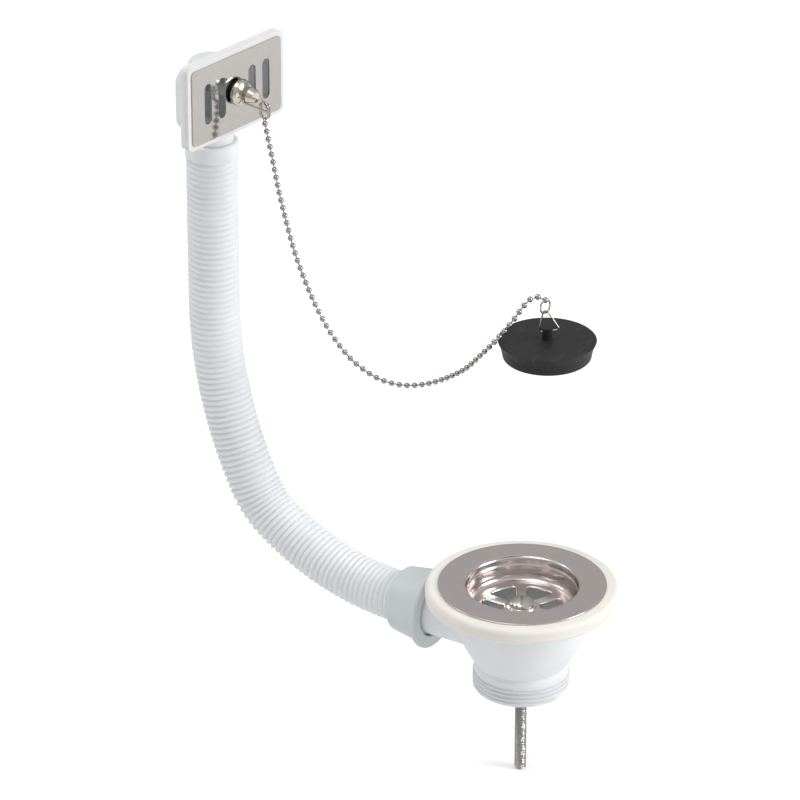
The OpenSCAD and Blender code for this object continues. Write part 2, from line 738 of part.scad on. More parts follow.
module overflow_gasket() {
    color([0.95, 0.95, 0.94]) at_overflow() difference() {
        slab(housing_w, housing_h, housing_corner, gasket_y, flange_y);
        slab(window_w, window_h, window_corner, gasket_y - 1, flange_y + 1);
    }
}

module overflow_plate() {
    color([0.62, 0.6, 0.58]) at_overflow() difference() {
        slab(plate_w, plate_h, plate_corner, face_y, gasket_y);
        for (x = [-grille_x2, -grille_x1, grille_x1, grille_x2])
            translate([x, 0, 0])
                slab(grille_w, grille_h, grille_w / 2 - 0.01, face_y - 1, gasket_y + 1);
        round_along_y(stay_thread_r + slide_gap, face_y - 1, gasket_y + 1);
    }
}

module stay_washer() {
    bore = stay_thread_r + slide_gap;
    color([0.3, 0.29, 0.28]) turned_on_stay([
        [bore, 0], [neck_washer_d / 2, 0], [neck_washer_d / 2, neck_washer_t], [bore, neck_washer_t]
    ]);
}

module stay_cap() {
    bore = stay_thread_r + slide_gap;
    base = neck_washer_t;
    top = base + cap_h;
    color([0.78, 0.74, 0.68]) turned_on_stay(concat(
        [[bore, base], [cap_d / 2 - 0.3, base], [cap_d / 2, base + 0.3]],
        [for (t = [0.2:0.2:0.81]) [stay_r + (cap_d / 2 - stay_r) * sqrt(1 - t * t),
            base + 0.3 + (cap_h - 0.3) * t]],
        [[stay_r, top], [bore, top]]
    ));
}

module stay_screw() {
    seat = neck_washer_t + cap_h;
    groove_at = stay_bore_at + 1.6;
    color([0.76, 0.72, 0.66]) difference() {
        turned_on_stay([
            [0, -stay_thread_len], [stay_thread_r - 0.5, -stay_thread_len],
            [stay_thread_r, 0.5 - stay_thread_len], [stay_thread_r, seat], [stay_r, seat],
            [stay_r, groove_at - 0.3], [stay_r - stay_groove, groove_at],
            [stay_r, groove_at + 0.3], [stay_tip_r, stay_len - 0.2], [stay_tip_r - 0.2, stay_len],
            [0, stay_len]
        ]);
        at_overflow() translate([0, face_y - stay_bore_at, 0]) rotate([0, 90 - clip_roll, 0])
            cylinder(r = wire_r + slide_gap, h = 2 * stay_d, center = true);
    }
}

module stay_clip() {
    sharp = sharp_height(clip_reach, clip_w, clip_bend);
    color([0.7, 0.68, 0.65]) at_overflow() translate([0, face_y - stay_bore_at, 0])
        rotate([0, -clip_roll, 0]) rotate([clip_tilt, 0, 0])
            wire_loop([[clip_w / 2, 0], [-clip_w / 2, 0], [0, -sharp]],
                [clip_bend, clip_bend, clip_bend], wire_r);
}

module chain_ring() {
    color([0.45, 0.43, 0.42]) translate(ring_at)
        for (side = [-1, 1])
            rotate(90 + side * ring_splay) wire_oval(ring_w, ring_h, wire_r);
}

// Turns the Z axis to the direction of v
module aim(v) {
    rotate([0, acos(v[2] / norm(v)), heading(v)]) children();
}

module ball_chain() {
    color([0.68, 0.66, 0.64]) {
        translate(chain_at + [0, 0, eye_up]) rotate([90, 0, 0])
            rotate_extrude() translate([eye_r, 0]) circle(eye_wire_r);
        difference() {
            translate(chain_at) rotate(chain_turn) {
                for (i = [0:ball_gaps])
                    translate(balls[i])
                        aim(balls[min(i + 1, ball_gaps)] - balls[max(i - 1, 0)])
                            rotate([90, 0, 0]) sphere(ball_r);
                for (i = [0:ball_gaps - 1]) {
                    way = balls[i + 1] - balls[i];
                    sunk = ball_r * 0.8;
                    translate(balls[i] + way * sunk / norm(way))
                        aim(way) cylinder(r = link_r, h = norm(way) - 2 * sunk);
                }
            }
            translate(chain_end - [0, 0, link_w / 2 - wire_r]) rotate([90, 0, link_turn])
                rotate_extrude() translate([link_w / 2 - wire_r, 0]) circle(wire_r + slide_gap);
        }
    }
}

module plug_link() {
    color([0.66, 0.62, 0.58]) translate(chain_end - [0, 0, link_h / 2 - wire_r])
        rotate(link_turn) wire_oval(link_w, link_h, wire_r);
}

module plug_triangle() {
    sharp = sharp_height(tri_h, tri_w, tri_tip_bend);
    color([0.68, 0.64, 0.58]) translate(tri_at) rotate(tri_turn)
        rotate([0, -tri_lean, 0]) rotate([90, 0, 0]) translate([tri_slide, 0])
            wire_loop([[-tri_w / 2, 0], [tri_w / 2, 0], [0, sharp]],
                [tri_bend, tri_bend, tri_tip_bend], wire_r);
}

module sink_plug() {
    color([0.16, 0.155, 0.155]) translate(plug_at) difference() {
        union() {
            rotate_extrude() polygon(concat(
                [[0, 0], [plug_r - 0.6, 0], [plug_r, -0.6],
                    [plug_r - lip_in, -lip_drop], [plug_r - lip_in - 0.5, -lip_drop - 2]],
                arc([plug_foot_r - foot_round, foot_round - plug_h], foot_round, 0, -90, 5),
                [[plug_foot_r - 5, -plug_h], [plug_foot_r - 6.5, 1.5 - plug_h],
                    [0, 1.5 - plug_h]]
            ));
            translate([0, 0, -0.5]) cylinder(d = lug_d, h = lug_h + 0.5);
        }
        translate([0, 0, lug_bore_up]) rotate(tri_turn) rotate([0, 90 - tri_lean, 0])
            cylinder(r = wire_r + slide_gap, h = 2 * lug_d, center = true);
    }
}

strainer_flange();
centre_bolt();
sink_seal();
waste_body();
bridge_insert();
inlet_nut();
inlet_washer();
overflow_hose();
overflow_housing();
overflow_gasket();
overflow_plate();
stay_insert();
stay_washer();
stay_cap();
stay_screw();
stay_clip();
chain_ring();
ball_chain();
plug_link();
plug_triangle();
sink_plug();
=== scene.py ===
"""Looks of a sink waste with overflow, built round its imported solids.

Lengths in the helper functions are millimetres, as on the part's own drawing; meshes are in metres.
"""

import json
import math

import bmesh
import bpy
import numpy as np
from mathutils import Matrix, Vector


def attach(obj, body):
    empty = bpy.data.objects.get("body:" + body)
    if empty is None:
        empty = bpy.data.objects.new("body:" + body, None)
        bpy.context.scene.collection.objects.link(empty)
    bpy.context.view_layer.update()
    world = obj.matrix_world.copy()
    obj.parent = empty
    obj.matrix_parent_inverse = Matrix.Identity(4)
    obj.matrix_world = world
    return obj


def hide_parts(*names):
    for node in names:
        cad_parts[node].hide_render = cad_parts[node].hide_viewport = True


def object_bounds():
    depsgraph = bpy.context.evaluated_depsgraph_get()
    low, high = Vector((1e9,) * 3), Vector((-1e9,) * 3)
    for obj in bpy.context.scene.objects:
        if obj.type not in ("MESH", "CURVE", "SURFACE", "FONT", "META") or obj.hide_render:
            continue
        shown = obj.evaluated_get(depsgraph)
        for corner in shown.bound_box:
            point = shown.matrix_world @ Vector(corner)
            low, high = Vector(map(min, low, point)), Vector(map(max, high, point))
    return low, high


MM = 0.001
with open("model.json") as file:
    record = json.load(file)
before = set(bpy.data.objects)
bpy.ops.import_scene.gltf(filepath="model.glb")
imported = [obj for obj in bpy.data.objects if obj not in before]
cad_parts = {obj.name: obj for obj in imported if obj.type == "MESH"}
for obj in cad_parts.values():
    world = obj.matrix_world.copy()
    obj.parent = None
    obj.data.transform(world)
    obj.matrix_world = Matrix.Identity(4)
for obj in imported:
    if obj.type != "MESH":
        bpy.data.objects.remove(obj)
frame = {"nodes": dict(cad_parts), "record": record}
cad_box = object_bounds()
scene = bpy.context.scene
scene.view_settings.view_transform = "Standard"


# Camera, as the photograph was taken: from the left, a little above
IMAGE_PX = 800
FOCAL_PX = 5400
SENSOR_MM = 36
CAMERA_PLACE = (-1838.3, -1505.9, 1296.2)
CAMERA_TILT, CAMERA_TURN = 63.34, -49.2

camera_data = bpy.data.cameras.new("camera")
camera_data.sensor_width = SENSOR_MM
camera_data.lens = SENSOR_MM * FOCAL_PX / IMAGE_PX
camera_data.clip_end = 20
camera = bpy.data.objects.new("camera", camera_data)
camera.location = Vector(CAMERA_PLACE) * MM
camera.rotation_euler = (math.radians(CAMERA_TILT), 0, math.radians(CAMERA_TURN))
scene.collection.objects.link(camera)
scene.camera = camera


# Mesh helpers
def new_piece(name, mesh):
    """A piece of the object, riding on its only body."""
    piece = bpy.data.objects.new(name, mesh)
    scene.collection.objects.link(piece)
    mesh.shade_smooth()
    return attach(piece, "root")


def mesh_from(name, points, faces):
    """Mesh from points in millimetres."""
    mesh = bpy.data.meshes.new(name)
    mesh.from_pydata([tuple(p) for p in np.asarray(points, float) * MM], [], faces)
    mesh.validate()
    return mesh


def round_edges(piece, width, segments, angle):
    """Small bevel on the edges of a piece that turn by more than an angle in degrees."""
    edges = piece.modifiers.new("edges", "BEVEL")
    edges.width = width * MM
    edges.segments = segments
    edges.angle_limit = math.radians(angle)


def ring_faces(first, second, count):
    """Quads between two rings of points that start at these indices."""
    return [
        (first + k, first + (k + 1) % count, second + (k + 1) % count, second + k)
        for k in range(count)
    ]


def tube(centres, radii, sides, closed=False):
    """Points and faces of a tube along centres, with a radius at each, on frames that don't twist."""
    centres = np.asarray(centres, float)
    count = len(centres)
    if closed:
        ahead = np.roll(centres, -1, 0) - np.roll(centres, 1, 0)
    else:
        ahead = np.gradient(centres, axis=0)
    ahead /= np.linalg.norm(ahead, axis=1)[:, None]
    side = np.cross(ahead[0], (0, 0, 1) if abs(ahead[0][2]) < 0.9 else (0, 1, 0))
    turns = np.linspace(0, 2 * math.pi, sides, endpoint=False)
    points = []
    for k in range(count):
        side = side - (side @ ahead[k]) * ahead[k]
        side /= np.linalg.norm(side)
        other = np.cross(ahead[k], side)
        points += [
            centres[k] + radii[k] * (math.cos(t) * side + math.sin(t) * other) for t in turns
        ]
    faces = []
    for k in range(count - 1 + closed):
        faces += ring_faces(k * sides, (k + 1) % count * sides, sides)
    return points, faces


def turned(profile, sides):
    """Points and faces of an open profile of (radius, height) turned round Z."""
    points = []
    for k in range(sides):
        a = 2 * math.pi * k / sides
        points += [(r * math.cos(a), r * math.sin(a), z) for r, z in profile]
    n = len(profile)
    faces = []
    for k in range(sides):
        here, there = k * n, (k + 1) % sides * n
        faces += [(here + i, there + i, there + i + 1, here + i + 1) for i in range(n - 1)]
    return points, faces


def arc(cx, cy, r, a0, a1, n):
    """Points of an arc round (cx, cy), with angles in degrees."""
    return [
        (cx + r * math.cos(math.radians(a)), cy + r * math.sin(math.radians(a)))
        for a in np.linspace(a0, a1, n + 1)
    ]


class Parts:
    """Collects points and faces of several shells into one mesh."""

    def __init__(self):
        self.points = []
        self.faces = []

    def add(self, points, faces, place=None):
        start = len(self.points)
        if place is not None:
            points = [place @ Vector(p) for p in points]
        self.points += [tuple(p) for p in points]
        self.faces += [tuple(start + i for i in face) for face in faces]

    def mesh(self, name):
        return mesh_from(name, self.points, self.faces)


# Places that the looks share with the solids
HOSE_TURN = math.radians(8)
INLET_Z = -28.4
HOSE_IN = 64.0
HOSE_START = 8.6
BENDS = ((130, 36), (40, 27), (220, 27))
HOSE_RISE = 89.0
HOSE_STEP = 0.5
CUFF = 9.0
HOUSING_RISE = 31.0
PLATE_OUT = 18.0
ALONG_INLET = Vector((-math.sin(HOSE_TURN), math.cos(HOSE_TURN), 0))


def bend_reach(radius, start, end):
    """How far out and up a bend leads between two headings in degrees."""
    start, end = math.radians(start), math.radians(end)
    return radius * (math.sin(end) - math.sin(start)), radius * (math.cos(start) - math.cos(end))


def hose_line(step):
    """Points of the hose's centreline in its upright plane, and the distance of each along it."""
    points = [(HOSE_IN + x, INLET_Z) for x in np.arange(0, HOSE_START, step)]
    u, z, heading = HOSE_IN + HOSE_START, INLET_Z, 0.0
    for radius, angle in BENDS:
        count = round(radius * math.radians(angle) / step)
        for k in range(count):
            out, up = bend_reach(radius, heading, heading + angle * k / count)
            points.append((u + out, z + up))
        out, up = bend_reach(radius, heading, heading + angle)
        u, z, heading = u + out, z + up, heading + angle
    points += [(u, z + k) for k in np.arange(0, HOSE_RISE, step)] + [(u, z + HOSE_RISE)]
    flat = np.array(points)
    run = np.concatenate([[0], np.cumsum(np.hypot(*np.diff(flat, axis=0).T))])
    return flat, run


def in_space(flat):
    """Points of the hose's plane as points in space."""
    return np.array([ALONG_INLET * u + Vector((0, 0, z)) for u, z in flat])


hose_flat, hose_run = hose_line(HOSE_STEP)
OVERFLOW = Vector(in_space(hose_flat[-1:])[0]) + Vector((0, 0, HOUSING_RISE))
FACE_Y = OVERFLOW.y - PLATE_OUT


# The ball chain hangs free between the stay's ring and the plug, and its points repeat the solids' route
CHAIN_TURN = math.radians(-69)
ROUTE = (
    (0, 0, 0), (3.6, 0, -18), (6.8, 0, -34.9), (10.7, 0, -51.6), (15.1, 0, -67.9),
    (20.6, 0, -83.1), (26.8, 0, -97.1), (34.2, 0, -110), (43.3, 0, -121.1), (51.6, 0, -127.4),
    (61.1, 0, -131.6), (71.9, 0, -132.7), (82.6, 0, -130.7), (94.1, -1.8, -125.1),
    (107.6, -7.1, -114.8), (117.6, -10.7, -103.4), (124.4, -11.9, -95.2), (130.3, -11.2, -87.5),
    (132.6, -9.9, -84.1), (134.8, -8.2, -80.8), (136.7, -6.6, -77.4), (138.9, -4.6, -74.2),
    (141.4, -2.6, -71.7), (144.3, -0.9, -71.5), (147.5, -0.1, -73),
)
SPLINE_STEPS = 8
BALL = 3.0
BALL_PITCH = 4.1
BALL_SIDES, BALL_RINGS = 20, 12
BALL_HOLE_R = 0.48
COLLAR_IN, COLLAR_DEPTH = 0.9, 0.86
LINK_WIRE = 0.7
LINK_START = 0.25
WIRE_SIDES = 10
EYE_R = 1.1
EYE_WIRE = 0.6
EYE_STEPS = 24
EYE_SINK = 0.1
EYE_UP = EYE_R + BALL / 2 - EYE_SINK
EYE_PLAY = 0.05

# Ring and clip that the chain hangs from
CLIP_ROLL, CLIP_TILT, CLIP_REACH = math.radians(22), math.radians(33), 12.4
STAY_BORE = 7.6
RING_IN, RING_DROP, RING_H = 1.95, 0.4, 9.6
WIRE_R = 0.45


def chain_start():
    """Centre of the first ball, under the ring that hangs in the stay's clip."""
    out, down = CLIP_REACH * math.cos(CLIP_TILT), CLIP_REACH * math.sin(CLIP_TILT)
    tip = Vector((OVERFLOW.x + math.sin(CLIP_ROLL) * down, FACE_Y - STAY_BORE - out,
                  OVERFLOW.z - math.cos(CLIP_ROLL) * down))
    ring = tip + Vector((0, RING_IN, -RING_DROP))
    eye_drop = EYE_R - EYE_WIRE / 2 - WIRE_R - EYE_PLAY
    return ring - Vector((0, 0, RING_H / 2 - WIRE_R + eye_drop + EYE_UP))


def chain_points():
    """Ball centres, evenly spaced along a smooth line through the route."""
    route = np.array(ROUTE, float)
    knots = np.vstack([2 * route[0] - route[1], route, 2 * route[-1] - route[-2]])
    line = []
    for i in range(1, len(knots) - 2):
        a, b, c, d = knots[i - 1 : i + 3]
        for t in np.arange(SPLINE_STEPS) / SPLINE_STEPS:
            line.append(0.5 * (2 * b + (c - a) * t + (2 * a - 5 * b + 4 * c - d) * t**2
                               + (3 * b - a - 3 * c + d) * t**3))
    line = np.array(line + [route[-1]])
    run = np.concatenate([[0], np.cumsum(np.linalg.norm(np.diff(line, axis=0), axis=1))])
    stops = np.linspace(0, run[-1], round(run[-1] / BALL_PITCH) + 1)
    balls = np.stack([np.interp(stops, run, line[:, k]) for k in range(3)], axis=1)
    turn = Matrix.Rotation(CHAIN_TURN, 3, "Z")
    return [chain_start() + turn @ Vector(ball) for ball in balls]


def ball_mesh(parts, centre, axis):
    """One ball, rolled from sheet: a sphere with a small drawn-in collar at each end of its axis."""
    r = BALL / 2
    edge = 90 - math.degrees(math.asin(BALL_HOLE_R / r))
    collar_r, collar_z = BALL_HOLE_R * COLLAR_IN, r * COLLAR_DEPTH
    profile = [(collar_r, -collar_z)] + arc(0, 0, r, -edge, edge, BALL_RINGS) + [(collar_r, collar_z)]
    points, faces = turned(profile, BALL_SIDES)
    place = Matrix.Translation(centre) @ axis.to_track_quat("Z", "Y").to_matrix().to_4x4()
    parts.add(points, faces, place)


def make_chain():
    balls = chain_points()
    parts = Parts()
    for i, centre in enumerate(balls):
        axis = balls[min(i + 1, len(balls) - 1)] - balls[max(i - 1, 0)]
        ball_mesh(parts, centre, axis)
    for here, there in zip(balls, balls[1:]):
        ends = (here.lerp(there, LINK_START), here.lerp(there, 1 - LINK_START))
        parts.add(*tube(ends, (LINK_WIRE / 2, LINK_WIRE / 2), WIRE_SIDES))
    eye_centre = balls[0] + Vector((0, 0, EYE_UP))
    turns = np.linspace(0, 2 * math.pi, EYE_STEPS, endpoint=False)
    eye = [eye_centre + EYE_R * Vector((math.cos(t), 0, math.sin(t))) for t in turns]
    parts.add(*tube(eye, [EYE_WIRE / 2] * EYE_STEPS, WIRE_SIDES, closed=True))
    chain = new_piece("ball_chain_balls", parts.mesh("ball_chain_balls"))
    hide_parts("ball_chain")
    return chain


# Materials
def new_material(name):
    material = bpy.data.materials.new(name)
    material.use_nodes = True
    nodes = material.node_tree.nodes
    shader = nodes["Principled BSDF"]
    return material, nodes, material.node_tree.links, shader


def noise(nodes, links, scale, detail=4.0, stretch=(1, 1, 1)):
    """Noise in the piece's own coordinates, with its scale in cells for each metre."""
    place = nodes.new("ShaderNodeTexCoord")
    mapping = nodes.new("ShaderNodeMapping")
    mapping.inputs["Scale"].default_value = stretch
    texture = nodes.new("ShaderNodeTexNoise")
    texture.inputs["Scale"].default_value = scale
    texture.inputs["Detail"].default_value = detail
    links.new(place.outputs["Object"], mapping.inputs["Vector"])
    links.new(mapping.outputs["Vector"], texture.inputs["Vector"])
    return texture


def ramp(nodes, links, source, stops):
    """Colour ramp over a value, from (place, colour) stops."""
    node = nodes.new("ShaderNodeValToRGB")
    elements = node.color_ramp.elements
    for element, (place, colour) in zip(elements, stops):
        element.position = place
        element.color = (*colour, 1)
    links.new(source, node.inputs["Fac"])
    return node


def to_range(nodes, links, source, low, high):
    node = nodes.new("ShaderNodeMapRange")
    node.inputs["To Min"].default_value = low
    node.inputs["To Max"].default_value = high
    links.new(source, node.inputs["Value"])
    return node


def bump(nodes, links, shader, source, distance, strength=0.3):
    node = nodes.new("ShaderNodeBump")
    node.inputs["Strength"].default_value = strength
    node.inputs["Distance"].default_value = distance
    links.new(source, node.inputs["Height"])
    links.new(node.outputs["Normal"], shader.inputs["Normal"])


def moulded(name, colour, rough, glow=0.0):
    """Moulded plastic or rubber: a slightly uneven colour and gloss over a fine grain.

    The glow is how much light passes through its skin.
    """
    spread, uneven_gloss = 0.02, 0.06
    material, nodes, links, shader = new_material(name)
    shader.inputs["Subsurface Weight"].default_value = glow
    shader.inputs["Subsurface Radius"].default_value = (1, 1, 0.9)
    shader.inputs["Subsurface Scale"].default_value = 0.004
    tone = noise(nodes, links, 60, 3)
    low = tuple(c * (1 - spread) for c in colour)
    high = tuple(min(1, c * (1 + spread)) for c in colour)
    mix = ramp(nodes, links, tone.outputs["Fac"], ((0.35, low), (0.65, high)))
    links.new(mix.outputs["Color"], shader.inputs["Base Color"])
    fine = noise(nodes, links, 900, 5)
    gloss = to_range(nodes, links, fine.outputs["Fac"], rough - uneven_gloss, rough + uneven_gloss)
    links.new(gloss.outputs["Result"], shader.inputs["Roughness"])
    bump(nodes, links, shader, fine.outputs["Fac"], 0.00004)
    return material


def metal(name, colour, rough, grain=700, spread=0.05):
    """Metal with a faintly uneven polish."""
    material, nodes, links, shader = new_material(name)
    shader.inputs["Metallic"].default_value = 1
    fine = noise(nodes, links, grain)
    low = tuple(c * (1 - spread) for c in colour)
    mix = ramp(nodes, links, fine.outputs["Fac"], ((0.3, low), (0.7, colour)))
    links.new(mix.outputs["Color"], shader.inputs["Base Color"])
    gloss = to_range(nodes, links, fine.outputs["Fac"], rough * 0.8, rough * 1.3)
    links.new(gloss.outputs["Result"], shader.inputs["Roughness"])
    bump(nodes, links, shader, fine.outputs["Fac"], 0.00001, 0.2)
    return material


def rubber_plug():
    """Dark rubber with faint scuffs."""
    dark, scuffed = (0.016, 0.0145, 0.015), (0.045, 0.042, 0.042)
    material, nodes, links, shader = new_material("plug_rubber")
    scuff = noise(nodes, links, 90, 8, (1, 4, 1))
    mix = ramp(nodes, links, scuff.outputs["Fac"], ((0.52, dark), (0.85, scuffed)))
    links.new(mix.outputs["Color"], shader.inputs["Base Color"])
    fine = noise(nodes, links, 1400)
    shader.inputs["Specular IOR Level"].default_value = 0.35
    gloss = to_range(nodes, links, scuff.outputs["Fac"], 0.45, 0.65)
    links.new(gloss.outputs["Result"], shader.inputs["Roughness"])
    bump(nodes, links, shader, fine.outputs["Fac"], 0.00006, 0.35)
    return material


MATERIALS = {
    "stainless": metal("stainless", (0.66, 0.6, 0.58), 0.19, 240, spread=0.02),
    "bolt_steel": metal("bolt_steel", (0.56, 0.54, 0.52), 0.3),
    "ivory_seal": moulded("ivory_seal", (0.86, 0.83, 0.77), 0.6),
    "white_plastic": moulded("white_plastic", (0.82, 0.85, 0.865), 0.38, glow=0.5),
    "brass_insert": metal("brass_insert", (0.72, 0.55, 0.25), 0.3),
    "nut_plastic": moulded("nut_plastic", (0.64, 0.685, 0.69), 0.4),
    "black_washer": moulded("black_washer", (0.03, 0.03, 0.032), 0.6),
    "hose_plastic": moulded("hose_plastic", (0.86, 0.885, 0.9), 0.42, glow=0.25),
    "white_gasket": moulded("white_gasket", (0.78, 0.78, 0.76), 0.7),
    "plate_steel": metal("plate_steel", (0.52, 0.495, 0.475), 0.09, 300),
    "dark_washer": moulded("dark_washer", (0.05, 0.05, 0.05), 0.6),
    "nickel": metal("nickel", (0.72, 0.66, 0.57), 0.12),
    "wire": metal("wire", (0.5, 0.465, 0.43), 0.16),
    "chain_steel": metal("chain_steel", (0.42, 0.4, 0.39), 0.18),
    "plug_rubber": rubber_plug(),
}


def dress(piece, slot):
    piece.data.materials.clear()
    piece.data.materials.append(MATERIALS[slot])


def stand_in(piece, node, slot):
    """Dress a piece in the material of its slot, and put it in the place of a solid."""
    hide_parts(node)
    dress(piece, slot)


# Every carried-over solid takes the material of its record's slot
for row in frame["record"]["subparts"]:
    if row["node"] in frame["nodes"]:
        dress(frame["nodes"][row["node"]], row["material_slot"])

dress(make_chain(), "chain_steel")


# Overflow hose: rounded ridges all the way from the smooth end at the nut to the smooth cuff
HOSE_SIDES = 64
HOSE_R = 13.2
VALLEY_R = 12.3
BEND_VALLEY_R = 11.9
BORE_R = 11.4
BORE_STRIDE = 4
RIDGE_PITCH = 3.05
RIDGE_FULLNESS = 0.8
COLLAR_LEN, COLLAR_R = 2.4, 14.9
SMOOTH_R = 12.8
CUFF_R, CUFF_ROUND = 13.6, 1.2

# Deep grooves fade to shallow ones over a stretch that ends a little before the last bend does
BENDS_LEN = sum(r * math.radians(a) for r, a in BENDS)
GROOVE_FADE, GROOVE_LEAD = 40, 25
SHALLOW_FROM = HOSE_START + BENDS_LEN - GROOVE_LEAD


def hose_radius(run, total):
    """Outer radius of the hose at a distance from its start."""
    left = total - run
    if run < COLLAR_LEN:
        return COLLAR_R
    if run < HOSE_START:
        return SMOOTH_R
    if run > total - CUFF:
        into_round = max(0, CUFF_ROUND - left)
        return CUFF_R - CUFF_ROUND + math.sqrt(max(0, CUFF_ROUND**2 - into_round**2))
    wave = 0.5 - 0.5 * math.cos(2 * math.pi * (run - HOSE_START) / RIDGE_PITCH)
    bent = min(1, max(0, (SHALLOW_FROM - run) / GROOVE_FADE))
    valley = VALLEY_R + (BEND_VALLEY_R - VALLEY_R) * bent
    return valley + (HOSE_R - valley) * wave**RIDGE_FULLNESS


def make_hose():
    total = hose_run[-1]
    centres = in_space(hose_flat)
    inside = np.vstack([centres[:-1:BORE_STRIDE], centres[-1:]])
    outer, outer_faces = tube(centres, [hose_radius(run, total) for run in hose_run], HOSE_SIDES)
    inner, inner_faces = tube(inside, [BORE_R] * len(inside), HOSE_SIDES)
    parts = Parts()
    parts.add(outer, outer_faces)
    inner_start = len(parts.points)
    parts.add(inner, [tuple(reversed(f)) for f in inner_faces])
    parts.faces += ring_faces(inner_start, 0, HOSE_SIDES)
    parts.faces += ring_faces(inner_start - HOSE_SIDES, len(parts.points) - HOSE_SIDES, HOSE_SIDES)
    hose = new_piece("hose_ridged", parts.mesh("hose_ridged"))
    stand_in(hose, "overflow_hose", "hose_plastic")


make_hose()


# Pressed strainer: one sheet, with each water hole's edge rolled down
SHEET = 0.8
SHEET_EDGE = SHEET / 2
FLANGE_R = 42.5
FLANGE_EASE = 1.5
MOUTH_R, MOUTH_ROUND = 28.0, 2.0
LEDGE_Z, LEDGE_W, LEDGE_ROUND = -3.2, 0.7, 0.5
CUP_R = MOUTH_R - LEDGE_W
CUP_FLOOR_Z, FLOOR_ROUND = -11.9, 3.4
HUB_R, HUB_RISE, HUB_ROUND, HUB_SET_IN = 7.0, 1.0, 0.6, 0.3
HUB_Z = CUP_FLOOR_Z + HUB_RISE
HUB_FOOT_R, HUB_FOOT_ROUND = HUB_R + HUB_RISE, 0.5
BOLT_HOLE_R = 3.3
HOLES = 6
HOLE_IN, HOLE_OUT, HOLE_CORNER = 9.2, 20.4, 1.5
SPOKE_W, SPOKE_TURN = 5.6, 41
CURL = 1.1
ROUND_SIDES = 144
WELD = 0.002


def hole_outline(grow, turn):
    """Outline of one water hole, grown outwards, as points of the plane."""
    sector = 360 / HOLES
    off = SPOKE_W / 2 + HOLE_CORNER
    near, far = HOLE_IN + HOLE_CORNER, HOLE_OUT - HOLE_CORNER
    near_a = math.degrees(math.asin(off / near))
    far_a = math.degrees(math.asin(off / far))
    corner = HOLE_CORNER + grow

    def at(r, a):
        return r * math.cos(math.radians(a)), r * math.sin(math.radians(a))

    points = (
        arc(*at(near, near_a), corner, 180 + near_a, 270, 5)
        + arc(*at(far, far_a), corner, -90, far_a, 5)
        + arc(0, 0, HOLE_OUT + grow, far_a + 1, sector - far_a - 1, 8)
        + arc(*at(far, sector - far_a), corner, sector - far_a, sector + 90, 5)
        + arc(*at(near, sector - near_a), corner, sector + 90, sector + 180 - near_a, 5)
        + arc(0, 0, HOLE_IN - grow, sector - near_a - 3, near_a + 3, 3)
    )
    c, s = math.cos(math.radians(turn)), math.sin(math.radians(turn))
    return [(x * c - y * s, x * s + y * c) for x, y in points]


def fill_flat(loops, z):
    """Triangles of the flat region between closed loops at height z."""
    work = bmesh.new()
    edges = []
    for loop in loops:
        corners = [work.verts.new((x, y, z)) for x, y in loop]
        edges += [work.edges.new((a, b)) for a, b in zip(corners, corners[1:] + corners[:1])]
    bmesh.ops.triangle_fill(work, use_beauty=True, edges=edges)
    work.verts.index_update()
    points = [tuple(v.co) for v in work.verts]
    faces = [tuple(v.index for v in f.verts) for f in work.faces]
    work.free()
    return points, faces


def circle_points(r):
    return arc(0, 0, r, 0, 360 - 360 / ROUND_SIDES, ROUND_SIDES - 1)


def welded(name, parts):
    """Piece from parts whose touching points are joined and whose faces all look outwards."""
    mesh = parts.mesh(name)
    work = bmesh.new()
    work.from_mesh(mesh)
    bmesh.ops.remove_doubles(work, verts=work.verts, dist=WELD * MM)
    bmesh.ops.recalc_face_normals(work, faces=work.faces)
    work.to_mesh(mesh)
    work.free()
    return new_piece(name, mesh)


def add_flange_and_cup(parts):
    """Flange, mouth, ledge and cup wall down to the edge of the floor, from above and from below."""
    floor_r = CUP_R - FLOOR_ROUND
    round_z = CUP_FLOOR_Z + FLOOR_ROUND
    mouth = (MOUTH_R + MOUTH_ROUND, SHEET - MOUTH_ROUND)
    top = (
        [(FLANGE_R, 0), (FLANGE_R, SHEET - SHEET_EDGE)]
        + arc(FLANGE_R - SHEET_EDGE, SHEET - SHEET_EDGE, SHEET_EDGE, 0, 90, 4)[1:]
        + [(FLANGE_R - FLANGE_EASE, SHEET), (MOUTH_R + MOUTH_ROUND + 1, SHEET)]
        + arc(*mouth, MOUTH_ROUND, 90, 180, 10)
        + [(MOUTH_R, LEDGE_Z + LEDGE_ROUND)]
        + arc(MOUTH_R - LEDGE_ROUND, LEDGE_Z + LEDGE_ROUND, LEDGE_ROUND, 0, -60, 3)[1:]
        + arc(CUP_R + LEDGE_ROUND, LEDGE_Z - LEDGE_W, LEDGE_ROUND, 120, 180, 3)
        + arc(floor_r, round_z, FLOOR_ROUND, 0, -90, 12)
    )
    under = (
        arc(floor_r, round_z, FLOOR_ROUND + SHEET, -90, 0, 12)
        + [(CUP_R + SHEET, LEDGE_Z - LEDGE_W), (MOUTH_R + SHEET, LEDGE_Z)]
        + arc(*mouth, MOUTH_ROUND - SHEET, 180, 90, 5)
        + [(FLANGE_R, 0)]
    )
    parts.add(*turned(top, ROUND_SIDES))
    parts.add(*turned(under, ROUND_SIDES))


